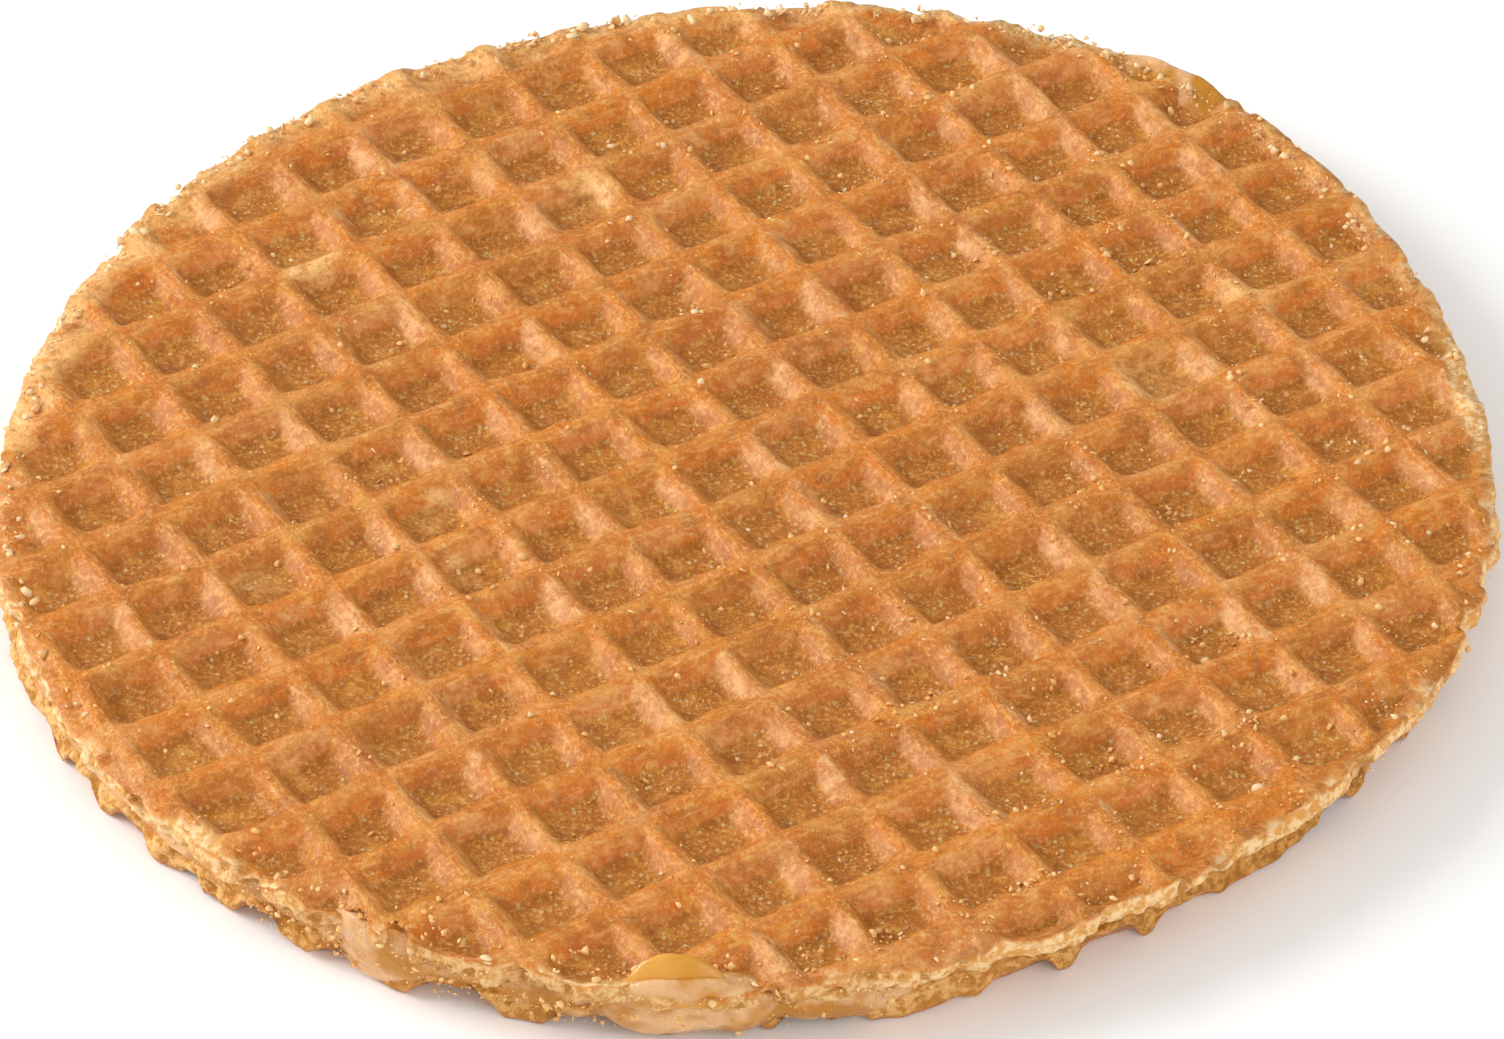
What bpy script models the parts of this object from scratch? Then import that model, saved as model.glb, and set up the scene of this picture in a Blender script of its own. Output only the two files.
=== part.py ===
"""Stroopwafel: two thin waffle discs with a layer of syrup pressed between them.

Everything is in metres, +Z up. The origin is at the bottom centre of the biscuit, which
lies flat on the rib crests of its lower wafer. +X is to the right and +Y points away from
the side where most syrup has oozed out.
"""
import bmesh
import bpy
from math import cos, pi, radians, sin
from mathutils import Matrix, Vector

MM = 0.001

# Heights, from the table up.
WAFER = 2.2 * MM              # one wafer, rib crest to cut face
SYRUP = 1.0 * MM              # the syrup between the wafers
GAP = 0.3 * MM                # clearance kept between neighbouring solids
HEIGHT = 2 * WAFER + SYRUP + 2 * GAP

# Outline of the upper wafer: a circle with a few slow waves (number, height, place).
RADIUS = 48.9 * MM
WAVES = (
    (2, 1.44 * MM, radians(57)),
    (3, 0.17 * MM, radians(-50)),
    (4, 0.42 * MM, radians(-24)),
    (5, 0.26 * MM, radians(-14)),
)
LOWER_INSET = 0.8 * MM        # the lower wafer is this much smaller all round
LOWER_SHIFT = Vector((-0.6 * MM, 0.7 * MM, 0))
SEGMENTS = 84

# Grid of ribs left by the baking iron.
RIB_TURN = radians(-58.8)     # direction of the first family of ribs
PITCH_ALONG = 5.84 * MM       # pocket pitch along RIB_TURN
PITCH_ACROSS = 6.05 * MM      # pocket pitch square to it
FIRST_POCKET = Vector((6.6 * MM, -3.4 * MM, 0))
RIB_CREST = 1.05 * MM         # width of a rib at its crest
RIB_SLOPE = 0.80 * MM         # run of a pocket's wall, seen from above
POCKET_DEPTH = 1.2 * MM
RIM_LEAST = 0.4 * MM          # a pocket's centre lies at least this far inside the rim

# Syrup edge, where it swells (angle, half-width, height), and where it has run out
# over the rim: angle, half-sizes (along the rim, outwards, up) and height of the
# middle. A drop stays between the two levels of pocket floors.
SYRUP_INSET = 0.2 * MM
SWELLS = (
    (radians(-117), radians(10), 0.6 * MM),
    (radians(-91), radians(13), 1.4 * MM),
    (radians(55), radians(11), 1.4 * MM),
)
OOZE_INSET = 0.8 * MM
OOZES = (
    (radians(-117), (5.0 * MM, 1.7 * MM, 1.4 * MM), 3.0 * MM),
    (radians(-96), (3.0 * MM, 1.9 * MM, 1.3 * MM), 3.1 * MM),
    (radians(55), (7.0 * MM, 1.9 * MM, 1.4 * MM), 3.0 * MM),
)


def rim_radius(angle):
    """Radius of the upper wafer at an angle: the mean radius plus its waves."""
    return RADIUS + sum(h * cos(n * (angle - a)) for n, h, a in WAVES)


def rim_point(angle, grow=0.0):
    radius = rim_radius(angle) + grow
    return Vector((radius * cos(angle), radius * sin(angle), 0))


def angles():
    return [2 * pi * i / SEGMENTS for i in range(SEGMENTS)]


def box_centre(points):
    """Middle of the box round some points, in plan."""
    xs = [p.x for p in points]
    ys = [p.y for p in points]
    return Vector(((min(xs) + max(xs)) / 2, (min(ys) + max(ys)) / 2, 0))


CENTRE = box_centre([rim_point(a) for a in angles()])


def upper_outline():
    return [rim_point(a) - CENTRE for a in angles()]


def lower_outline():
    return [rim_point(a, -LOWER_INSET) + LOWER_SHIFT - CENTRE for a in angles()]


def syrup_outline():
    """The smaller wafer's outline, a little further in, plus the swells."""
    points = []
    for angle, up, low in zip(angles(), upper_outline(), lower_outline()):
        radius = min(up.length, low.length) - SYRUP_INSET
        radius += sum(h * bump(angle - a, w) for a, w, h in SWELLS)
        points.append(Vector((radius * cos(angle), radius * sin(angle), 0)))
    return points


def bump(turn, width):
    """A smooth hump, 1 at no turn and 0 from the width onwards."""
    turn = abs((turn + pi) % (2 * pi) - pi)
    return cos(turn / width * pi / 2) ** 2 if turn < width else 0.0


def material(name, colour, roughness):
    mat = bpy.data.materials.new(name)
    mat.use_nodes = True
    bsdf = mat.node_tree.nodes["Principled BSDF"]
    bsdf.inputs["Base Color"].default_value = (*colour, 1)
    bsdf.inputs["Roughness"].default_value = roughness
    bsdf.inputs["Metallic"].default_value = 0.0
    return mat


def new_object(name, bm, mat=None):
    bmesh.ops.recalc_face_normals(bm, faces=bm.faces)
    mesh = bpy.data.meshes.new(name)
    bm.to_mesh(mesh)
    bm.free()
    obj = bpy.data.objects.new(name, mesh)
    bpy.context.collection.objects.link(obj)
    if mat:
        mesh.materials.append(mat)
    return obj


def guide(name, bm):
    """A cutter: it shapes its neighbours and isn't part of the biscuit."""
    obj = new_object(name, bm)
    obj.hide_render = True
    obj.display_type = "WIRE"
    return obj


def boolean(target, tool, operation):
    mod = target.modifiers.new(tool.name, "BOOLEAN")
    mod.operation = operation
    mod.solver = "EXACT"
    mod.object = tool


def ring(bm, points, height):
    return [bm.verts.new((p.x, p.y, height)) for p in points]


def bridge(bm, low, high):
    for i in range(len(low)):
        j = (i + 1) % len(low)
        bm.faces.new((low[i], low[j], high[j], high[i]))


def slab(outline, base, top):
    """A closed disc between two heights."""
    bm = bmesh.new()
    low = ring(bm, outline, base)
    high = ring(bm, outline, top)
    bridge(bm, low, high)
    bm.faces.new(low)
    bm.faces.new(high)
    return bm


def rounded_slab(outline, base, top, inset):
    """A closed disc whose edge swells from an inset at both faces to the full outline."""
    bm = bmesh.new()
    steps = 4
    rings = []
    for k in range(steps + 1):
        t = pi * (k / steps - 0.5)
        shrink = inset * (1 - cos(t))
        height = (base + top) / 2 + (top - base) / 2 * sin(t)
        rings.append(ring(bm, [p * (1 - shrink / p.length) for p in outline], height))
    for low, high in zip(rings, rings[1:]):
        bridge(bm, low, high)
    bm.faces.new(rings[0])
    bm.faces.new(rings[-1])
    return bm


def pocket_centres(outline):
    """Grid points inside the rim: the outermost pockets notch it."""
    along = Vector((cos(RIB_TURN), sin(RIB_TURN), 0)) * PITCH_ALONG
    across = Vector((-sin(RIB_TURN), cos(RIB_TURN), 0)) * PITCH_ACROSS
    reach = int(RADIUS / PITCH_ALONG) + 2
    for i in range(-reach, reach + 1):
        for j in range(-reach, reach + 1):
            point = FIRST_POCKET + along * i + across * j
            if point.length < nearest_rim(outline, point) - RIM_LEAST:
                yield point


def nearest_rim(outline, point):
    """Length of the outline point whose direction is nearest to the given point's."""
    return max(outline, key=lambda p: p.normalized().dot(point.normalized())).length


def pockets(name, outline, crest, inwards):
    """Cutter with one square funnel for each pocket; inwards is +1 up or -1 down."""
    bm = bmesh.new()
    turn = Matrix.Rotation(RIB_TURN, 4, "Z")
    mouth = Vector((PITCH_ALONG - RIB_CREST, PITCH_ACROSS - RIB_CREST, 0)) / 2
    floor = mouth - Vector((RIB_SLOPE, RIB_SLOPE, 0))
    over = mouth + Vector((RIB_SLOPE, RIB_SLOPE, 0)) / 2
    corners = ((-1, -1), (1, -1), (1, 1), (-1, 1))
    for centre in pocket_centres(outline):
        loops = []
        for half, depth in ((floor, POCKET_DEPTH), (over, -POCKET_DEPTH / 2)):
            place = [centre + turn @ Vector((x * half.x, y * half.y, 0)) for x, y in corners]
            loops.append(ring(bm, place, crest + inwards * depth))
        bridge(bm, loops[0], loops[1])
        bm.faces.new(loops[0])
        bm.faces.new(loops[1])
    return guide(name, bm)


def ooze(name, angle, half, height, grow):
    """A drop of syrup on the rim: an ellipsoid whose middle lies just inside it."""
    bm = bmesh.new()
    bmesh.ops.create_uvsphere(bm, u_segments=14, v_segments=8, radius=1.0)
    place = rim_point(angle, -OOZE_INSET) - CENTRE
    turn = Matrix.Rotation(angle, 4, "Z")
    size = Matrix.Diagonal((half[1] + grow, half[0] + grow, half[2] + grow, 1))
    where = Matrix.Translation((place.x, place.y, height))
    bmesh.ops.transform(bm, matrix=where @ turn @ size, verts=bm.verts)
    return guide(name, bm)


def wafer(name, outline, base, crest, inwards, mat):
    """A disc with pockets in its outer face and notches where syrup stands at the rim."""
    obj = new_object(name, slab(outline, base, base + WAFER), mat)
    boolean(obj, pockets(name + "_pockets", outline, crest, inwards), "DIFFERENCE")
    for k, (angle, half, height) in enumerate(OOZES):
        boolean(obj, ooze(f"{name}_notch_{k}", angle, half, height, GAP), "DIFFERENCE")
    return obj


def filling(mat):
    """The syrup layer with its rounded edge, joined to the drops at the rim."""
    base = WAFER + GAP
    bm = rounded_slab(syrup_outline(), base, base + SYRUP, SYRUP / 2)
    obj = new_object("filling", bm, mat)
    for k, (angle, half, height) in enumerate(OOZES):
        boolean(obj, ooze(f"filling_drop_{k}", angle, half, height, 0.0), "UNION")
    return obj


def smooth(obj, limit):
    mesh = obj.data
    mesh.shade_smooth()
    mesh.set_sharp_from_angle(angle=limit)


def build():
    for obj in list(bpy.data.objects):
        bpy.data.objects.remove(obj)
    crust = material("baked_wafer", (0.56, 0.22, 0.055), 0.55)
    under = material("baked_wafer_under", (0.50, 0.20, 0.05), 0.55)
    syrup = material("caramel_syrup", (0.62, 0.27, 0.05), 0.22)
    wafer("bottom_wafer", lower_outline(), 0.0, 0.0, 1, under)
    wafer("top_wafer", upper_outline(), HEIGHT - WAFER, HEIGHT, -1, crust)
    smooth(filling(syrup), radians(35))


build()
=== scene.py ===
# %% [markdown]
# # A stroopwafel, as a lesson in cells
# A stroopwafel is a thin waffle, sliced through while hot and pressed together again on
# caramel syrup. This file builds it around a fixed frame: three plain solids (lower
# wafer, syrup, upper wafer) that say where everything is. Each is replaced by a finely
# modelled piece of the same size, and loose crumbs are added on top.

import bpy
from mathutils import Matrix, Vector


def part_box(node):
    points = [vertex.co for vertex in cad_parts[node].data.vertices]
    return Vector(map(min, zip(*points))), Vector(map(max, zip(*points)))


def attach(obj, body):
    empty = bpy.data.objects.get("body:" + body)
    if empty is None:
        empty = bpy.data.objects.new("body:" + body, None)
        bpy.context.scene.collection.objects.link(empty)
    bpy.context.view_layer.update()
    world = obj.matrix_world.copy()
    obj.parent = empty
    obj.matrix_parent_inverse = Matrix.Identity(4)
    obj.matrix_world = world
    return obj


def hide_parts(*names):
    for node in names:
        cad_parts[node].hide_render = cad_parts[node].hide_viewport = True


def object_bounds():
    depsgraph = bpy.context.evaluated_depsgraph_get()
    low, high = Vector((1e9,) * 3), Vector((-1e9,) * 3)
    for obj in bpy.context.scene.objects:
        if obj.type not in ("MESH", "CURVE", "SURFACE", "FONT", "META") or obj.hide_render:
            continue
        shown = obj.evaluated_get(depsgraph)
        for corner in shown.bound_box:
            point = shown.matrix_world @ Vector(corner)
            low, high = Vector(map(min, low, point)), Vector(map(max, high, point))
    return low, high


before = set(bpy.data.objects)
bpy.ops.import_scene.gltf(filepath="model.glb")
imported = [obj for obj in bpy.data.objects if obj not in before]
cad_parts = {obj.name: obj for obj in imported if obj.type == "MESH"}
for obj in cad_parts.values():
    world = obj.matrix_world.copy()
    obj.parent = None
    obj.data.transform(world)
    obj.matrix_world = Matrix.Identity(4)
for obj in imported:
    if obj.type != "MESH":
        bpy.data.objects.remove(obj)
cad_low, cad_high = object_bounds()
print("solid box, mm:", [round(1000 * (h - l), 1) for l, h in zip(cad_low, cad_high)])

# %% [markdown]
# ## Units and tools
# Blender counts in metres, but a biscuit is easiest to think about in millimetres. So
# shapes are worked out as whole numpy arrays in millimetres, and are turned to metres
# only as they enter a mesh.

# %% Modules and the millimetre
from itertools import combinations

import bpy
import numpy as np
from mathutils import Matrix, Vector

MM = 0.001

# %% [markdown]
# ## What the iron and the cutter left
# A wafer iron has two engraved plates. Its pockets stand on a square grid, turned on the
# round biscuit, and a ring cutter trims the edge. The numbers below are those of the
# solids: pitch, turn and first pocket of the grid, and a circle with slow waves as rim.
# Levels aren't typed in: they are read from the boxes of the solids.

# %% Grid, rim and levels, in mm
RIB_TURN = np.radians(-58.8)
PITCH_A, PITCH_B = 5.84, 6.05
FIRST_POCKET = (6.6, -3.4)
POCKET_DEPTH = 1.2
RIM_RADIUS = 48.9
RIM_WAVES = ((2, 1.44, 57), (3, 0.17, -50), (4, 0.42, -24), (5, 0.26, -14))
LOWER_INSET = 0.8
LOWER_SHIFT = (-0.6, 0.7)

top_low, top_high = (np.array(v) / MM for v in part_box("top_wafer"))
under_low, under_high = (np.array(v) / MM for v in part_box("bottom_wafer"))
UPPER_CUT, UPPER_CREST = top_low[2], top_high[2]
LOWER_CUT, LOWER_CREST = under_high[2], under_low[2]
print("upper wafer from z", round(UPPER_CUT, 2), "to", round(UPPER_CREST, 2), "mm")
print("lower wafer from z", round(LOWER_CREST, 2), "to", round(LOWER_CUT, 2), "mm")

# %% [markdown]
# ## The rim as radius against angle
# Everything at the edge has to know how far out the rim is. The waved circle could be
# solved for each question, but a table of 721 radii, read by interpolation, is quicker
# and serves both wafers: the lower one is a little smaller and sits a little off centre.

# %% Rim tables
ROUND = np.linspace(-np.pi, np.pi, 721)


def wave_radius(angle):
    """Mean radius plus each wave's height times the cosine of its turns."""
    return RIM_RADIUS + sum(h * np.cos(n * (angle - np.radians(p))) for n, h, p in RIM_WAVES)


def box_middle(angle):
    """Middle of the box round the waved circle, which the origin is under."""
    x = wave_radius(angle) * np.cos(angle)
    y = wave_radius(angle) * np.sin(angle)
    return (x.min() + x.max()) / 2, (y.min() + y.max()) / 2


def rim_table(grow, shift):
    """Angle and radius about the origin, for the outline grown and shifted."""
    mx, my = box_middle(ROUND)
    x = (wave_radius(ROUND) + grow) * np.cos(ROUND) + shift[0] - mx
    y = (wave_radius(ROUND) + grow) * np.sin(ROUND) + shift[1] - my
    return np.arctan2(y, x), np.hypot(x, y)


def rim_at(table, angle):
    """Radius at any angle, read between the table's points."""
    return np.interp(angle, table[0], table[1], period=2 * np.pi)


def degrees_off(turn, middle):
    """How far an angle in radians is from a middle in degrees, always 0 to 180."""
    return np.abs((np.degrees(turn) - middle + 180) % 360 - 180)


TOP_RIM = rim_table(0.0, (0, 0))
LOW_RIM = rim_table(-LOWER_INSET, LOWER_SHIFT)
print("upper rim radius", round(TOP_RIM[1].min(), 1), "to", round(TOP_RIM[1].max(), 1), "mm")

# %% [markdown]
# ## Noise made with arrays
# Baked dough is irregular at every size. Blender's noise textures could bend the mesh,
# but then the crumbs could not ask how high the surface is, so the noise is made here.
# `lumps` blends hashed corner values into smooth hills and `rough` stacks finer layers.

# %% Hashed lumps
def hashed(ix, iy, iz, seed):
    """A whole-number mix of the three grid places and a seed, turned to 0..1."""
    h = (ix * 374761393 + iy * 668265263 + iz * 1442695041 + seed * 974634777) & 0xFFFFFFFF
    h = ((h ^ (h >> 13)) * 1274126177) & 0xFFFFFFFF
    h = ((h ^ (h >> 16)) * 1103515245) & 0xFFFFFFFF
    return ((h ^ (h >> 15)) & 0xFFFFFF) / float(0xFFFFFF)


def lumps(x, y, z, size, seed):
    """Smooth noise, -1 to 1: corner values weighted by an S-curve in each direction."""
    spots = [np.asarray(c, float) / size for c in (x, y, z)]
    base = [np.floor(c).astype(np.int64) for c in spots]
    part = [c - b for c, b in zip(spots, base)]
    part = [t * t * (3 - 2 * t) for t in part]
    total = 0.0
    for corner in range(8):
        bits = [(corner >> k) & 1 for k in range(3)]
        weight = 1.0
        for t, bit in zip(part, bits):
            weight = weight * (t if bit else 1 - t)
        total = total + weight * hashed(*[b + k for b, k in zip(base, bits)], seed)
    return total * 2 - 1


def rough(x, y, z, size, seed, levels=3):
    """Several layers of lumps, each half as large and half as high as the last."""
    return sum(lumps(x, y, z, size / 2**k, seed + k) / 2**k for k in range(levels))


# %% [markdown]
# ## Bubbles and soft steps
# Air bubbles in crumb sit apart from each other, which smooth noise never does. `pores`
# gives the distance to the nearest of a scattered set of points, one to each cell of a
# grid. `ease` is the soft step that shapes nearly everything else in this file.

# %% Pores and the soft step
def pores(x, y, z, size, seed):
    """Distance to the nearest scattered point, in units of size."""
    spots = [np.broadcast_to(np.asarray(c, float) / size, np.shape(x)) for c in (x, y, z)]
    base = [np.floor(c).astype(np.int64) for c in spots]
    best = np.full(np.shape(x), 9.0)
    for k in range(27):
        cell = [b + d for b, d in zip(base, (k % 3 - 1, k // 3 % 3 - 1, k // 9 - 1))]
        gap = [c + hashed(*cell, seed + 7 * n) - s for n, (c, s) in enumerate(zip(cell, spots))]
        best = np.minimum(best, np.sqrt(sum(g * g for g in gap)))
    return best


def ease(low, high, value):
    """0 below low, 1 above high, and an S-curve between."""
    t = np.clip((value - low) / (high - low), 0, 1)
    return t * t * (3 - 2 * t)


# %% [markdown]
# ## From arrays to a mesh
# One helper writes points, faces, a grid coordinate and any number of per-point values
# into a mesh. The values drive the materials: how high on a rib a point is, whether it
# is skin or bare crumb, and how pale it baked. A second one closes a stack of rings.

# %% Mesh helpers
def make_piece(name, points, faces, values=None, grid=None):
    """points: (n, 3) in mm. faces: arrays with one row of corner numbers for each face."""
    mesh = bpy.data.meshes.new(name)
    corners = np.concatenate([f.ravel() for f in faces]).astype(np.int32)
    sizes = np.concatenate([np.full(len(f), f.shape[1]) for f in faces])
    starts = np.concatenate([[0], np.cumsum(sizes)[:-1]]).astype(np.int32)
    mesh.vertices.add(len(points))
    mesh.vertices.foreach_set("co", (points * MM).astype(np.float32).ravel())
    mesh.loops.add(len(corners))
    mesh.loops.foreach_set("vertex_index", corners)
    mesh.polygons.add(len(sizes))
    mesh.polygons.foreach_set("loop_start", starts)
    mesh.update(calc_edges=True)
    for key, value in (values or {}).items():
        layer = mesh.attributes.new(key, "FLOAT", "POINT")
        layer.data.foreach_set("value", np.asarray(value, np.float32))
    if grid is not None:
        layer = mesh.uv_layers.new(name="ribs")
        layer.data.foreach_set("uv", grid[corners].astype(np.float32).ravel())
    mesh.shade_smooth()
    piece = bpy.data.objects.new(name, mesh)
    bpy.context.scene.collection.objects.link(piece)
    triangles = int((sizes - 2).sum())
    print(f"{name}: {len(points)} points, {triangles} triangles")
    return piece


def closed_rings(count, around):
    """Quads between rings that climb the outside, and fans to a low and a high point."""
    i = np.arange(around)
    j = (i + 1) % around
    quads = [
        np.stack([k * around + i, k * around + j, (k + 1) * around + j, (k + 1) * around + i], 1)
        for k in range(count - 1)
    ]
    low, last = count * around, (count - 1) * around
    under = np.stack([j, i, np.full(around, low)], 1)
    above = np.stack([last + i, last + j, np.full(around, low + 1)], 1)
    return quads + [under, above]


# %% [markdown]
# ## A grid that can be counted
# Let a and b count rib spacings in the two directions, so that ribs run where a or b is
# whole. Working in a and b makes every pocket alike to the formulas. Real ribs wander a
# little, most of all near the rim where the cutter and the syrup pushed, and that is
# added as a and b are turned to a place in the plan.

# %% From grid to place and back
AXIS_A = np.array([np.cos(RIB_TURN), np.sin(RIB_TURN)]) * PITCH_A
AXIS_B = np.array([-np.sin(RIB_TURN), np.cos(RIB_TURN)]) * PITCH_B
CROSSING = np.array(FIRST_POCKET) - (AXIS_A + AXIS_B) / 2


def place(a, b, seed):
    """Plan position of a grid point: crossing + a rib steps + b rib steps + wander."""
    x = CROSSING[0] + a * AXIS_A[0] + b * AXIS_B[0]
    y = CROSSING[1] + a * AXIS_A[1] + b * AXIS_B[1]
    loose = 0.15 + 0.25 * ease(36, 48, np.hypot(x, y))
    x2 = x + loose * rough(x, y, 0, 9.0, seed) + 0.09 * lumps(x, y, 3, 2.2, seed + 5)
    y2 = y + loose * rough(x, y, 9, 9.0, seed) + 0.09 * lumps(x, y, 6, 2.2, seed + 6)
    return x2, y2


def count_back(x, y):
    """The a and b of a plan position, without the wander."""
    dx, dy = x - CROSSING[0], y - CROSSING[1]
    a = (dx * AXIS_A[0] + dy * AXIS_A[1]) / PITCH_A**2
    b = (dx * AXIS_B[0] + dy * AXIS_B[1]) / PITCH_B**2
    return a, b


print("a rib crossing stands at", [round(float(v), 2) for v in CROSSING], "mm")

# %% [markdown]
# ## Ribs and creases
# A rib could be a straight-sided bar, but batter leaves the iron rounded. So each rib is
# a ridge: full height near its middle, then half a cosine down to the pocket floor. The
# ribs along a are narrower than those along b. Beside some ribs the skin slid on the
# iron and creased, which leaves a low second ridge.

# %% Ridges and creases
RUN_A = (0.15, 1.62)      # ribs along a: crest edge and floor edge, mm from the rib's middle
RUN_B = (0.28, 1.80)      # ribs along b
CREASE_HEIGHT = 0.24


def ridge(distance, edges, x, y, seed):
    """1 on a rib's crest, falling as half a cosine to 0 where the floor begins."""
    wide = 1 + 0.14 * lumps(x, y, 0, 3.1, seed) + 0.10 * lumps(x, y, 4, 1.1, seed + 1)
    t = np.clip((distance / wide - edges[0]) / (edges[1] - edges[0]), 0, 1)
    return 0.5 + 0.5 * np.cos(np.pi * t)


def wall_share(rib, step, family, seed):
    """A random share, 0 to 1, for each side of each rib between two crossings."""
    near = np.round(rib)
    side = 2 * near + (rib > near)
    return hashed(side.astype(np.int64), np.floor(step).astype(np.int64), family, seed)


def crease(distance, share, step):
    """A bell 0.22 mm wide beside the rib, fading at crossings, only where share is high."""
    where = 0.85 + 0.5 * share
    ends = np.sin(np.pi * (step - np.floor(step))) ** 0.5
    return ease(0.45, 0.75, share) * ends * np.exp(-(((distance - where) / 0.22) ** 2))


# %% [markdown]
# ## Relief of the patterned face
# The higher of the two ridges wins, and crossings are filled a little, as in an iron
# with worn corners. Hot batter never fills an iron evenly, so crests, walls and floors
# vary from pocket to pocket. Each stretch of wall also gets its own bake, because the
# eye sees pale and dark walls side by side.

# %% Relief, and how it fades at the rim
def relief(a, b, seed):
    """Rise of the ribs as a share of pocket depth, extra lift in mm, rib family, bake."""
    x, y = a * PITCH_A, b * PITCH_B
    near_a = np.abs(a - np.round(a)) * PITCH_A
    near_b = np.abs(b - np.round(b)) * PITCH_B
    along = ridge(near_b, RUN_A, x, y, seed + 10)
    across = ridge(near_a, RUN_B, x, y, seed + 20)
    run = ease(-0.15, 0.15, along - across)
    rise = np.maximum(along, across)
    rise = rise + 0.6 * np.minimum(along, across) * (1 - rise)
    pocket = hashed(np.floor(a).astype(np.int64), np.floor(b).astype(np.int64), 0, seed)
    crest = 0.10 * lumps(x, y, 0, 4.3, seed + 30) + 0.04 * lumps(x, y, 0, 0.9, seed + 31)
    floor = 0.26 * (pocket - 0.5) + 0.08 * rough(x, y, 0, 2.2, seed + 32)
    wall = 0.17 * lumps(x, y, 0, 1.1, seed + 36) + 0.09 * lumps(x, y, 0, 0.55, seed + 37)
    share_a, share_b = wall_share(b, a, 1, seed + 60), wall_share(a, b, 0, seed + 61)
    wall = wall + CREASE_HEIGHT * np.maximum(crease(near_b, share_a, a), crease(near_a, share_b, b))
    lift = rise * crest + (1 - rise) * floor + 4 * rise * (1 - rise) * wall
    bake = run * share_a + (1 - run) * share_b
    bake = bake + 0.30 * rough(x, y, 0, 2.6, seed + 38)
    return rise, lift, run, bake


def rim_fade(x, y, from_rim):
    """Pockets are shallow at the rim: 0.35 there to 1 inside, furthest in at left and back."""
    turn = np.arctan2(y, x)
    reach = 1.7 + 3.6 * np.clip(np.cos(turn - np.radians(145)), 0, 1) ** 2
    reach = reach + 0.6 * lumps(x, y, 0, 6.0, 5)
    return 0.35 + 0.65 * ease(0.2, reach, from_rim)


# %% [markdown]
# ## Pale places
# Where the iron hardly touched, the skin stays pale in a few spots inside. A band along
# the back and left rim is pale too: partly pale crumb, partly painted light for the light
# from behind on the rim. The spots are listed, because on the real one they are few and
# each is seen; a noise would put them anywhere.

# %% Pale places
PALE_SPOTS = (            # x, y and radius in mm
    (-29, 20, 2.6),
    (-10.5, 27.5, 2.4),
    (10, 11.5, 1.7),
    (27, 8.5, 2.8),
    (33, 17.5, 2.6),
    (-20.5, -5.5, 1.8),
    (-18, -11, 1.6),
    (-31, -12, 1.6),
)


def pale_and_backlit_share(x, y, from_rim):
    """1 in the pale spots, 0.8 along the back and left rim, both with ragged edges."""
    ragged = 0.9 * rough(x, y, 0, 1.8, 77)
    turn = np.degrees(np.arctan2(y, x))
    # The rim band: partly pale crumb, partly painted light from behind on the back rim.
    window = ease(115, 75, np.abs(turn - 105))
    reach = 1.5 + 1.5 * ease(60, 120, turn)
    total = 0.8 * window * ease(reach, reach * 0.25, from_rim + 1.4 * ragged)
    for sx, sy, radius in PALE_SPOTS:
        total = np.maximum(total, ease(radius, radius * 0.4, np.hypot(x - sx, y - sy) + ragged))
    return total


# %% [markdown]
# ## Rim and torn places
# The ring cutter drags and chips the edge, so the rim gets waves of a few millimetres
# and small chips, larger ones at the front of the upper wafer. In a few places the skin
# is torn off beside the rim and the crumb under it shows, widest at the right.

# %% Ragged rim and torn skin
TORN = (                  # middle and half-width in degrees, reach from the rim in mm
    (9, 11, 1.7),
    (-4, 6, 0.9),
    (62, 12, 1.0),
    (-100, 6, 1.2),
    (-132, 5, 0.8),
)


def ragged_radius(rim, turn, seed):
    """Rim radius plus slow waves, small chips and fine grain along the rim."""
    x, y = RIM_RADIUS * np.cos(turn), RIM_RADIUS * np.sin(turn)
    wave = 0.22 * rough(x, y, 0, 5.0, seed + 50)
    chip = 0.55 * ease(0.35, 0.75, lumps(x, y, 0, 2.3, seed + 53))
    if rim is TOP_RIM:
        front = ease(17, 9, np.abs(np.degrees(turn) + 108))
        chip = chip + 1.5 * front * ease(0.0, 0.5, lumps(x, y, 0, 3.0, seed + 55))
    return rim_at(rim, turn) + wave - chip + 0.09 * lumps(x, y, 0, 0.7, seed + 54)


def torn_share(x, y, from_rim, torn, seed):
    """1 where the skin is gone: small chips by the rim, and inside each torn place."""
    turn = np.arctan2(y, x)
    edge = 0.25 * rough(x, y, 0, 1.2, seed + 90)
    share = ease(0.35, 0.65, lumps(x, y, 0, 1.7, seed + 93)) * ease(0.8, 0.3, from_rim)
    for middle, half, width in torn:
        reach = width * ease(half, half * 0.4, degrees_off(turn, middle))
        share = np.maximum(share, ease(-0.15, 0.15, reach - from_rim + 2 * edge) * (reach > 0))
    return share


# %% [markdown]
# ## Crumb at the cut side
# Below a browned skin about 0.3 mm thick the side is bare crumb: lumpy, with bubbles
# broken open. Bump alone would leave a smooth outline, so the rows of points that go
# down the side are really pushed out by lumps and in by pores. The hollows get painted
# shade, golden-brown for light seen through the dough, and at the right of the lower
# wafer syrup browned the whole side.

# %% Side of a wafer
SIDE_ROWS = 12
INNER_RINGS = (0.97, 0.85, 0.45)


def crumb_push(x, y, z, seed):
    """How far bare crumb stands out: lumps, less a rounded bite at each pore."""
    hill = 0.30 * rough(x, y, z, 1.9, seed + 60) + 0.09 * lumps(x, y, z, 0.5, seed + 63)
    bite = 0.50 * ease(0.52, 0.16, pores(x, y, z, 1.5, seed + 64))
    return hill - bite - 0.20 * ease(0.5, 0.2, pores(x, y, z, 0.8, seed + 67))


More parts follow.
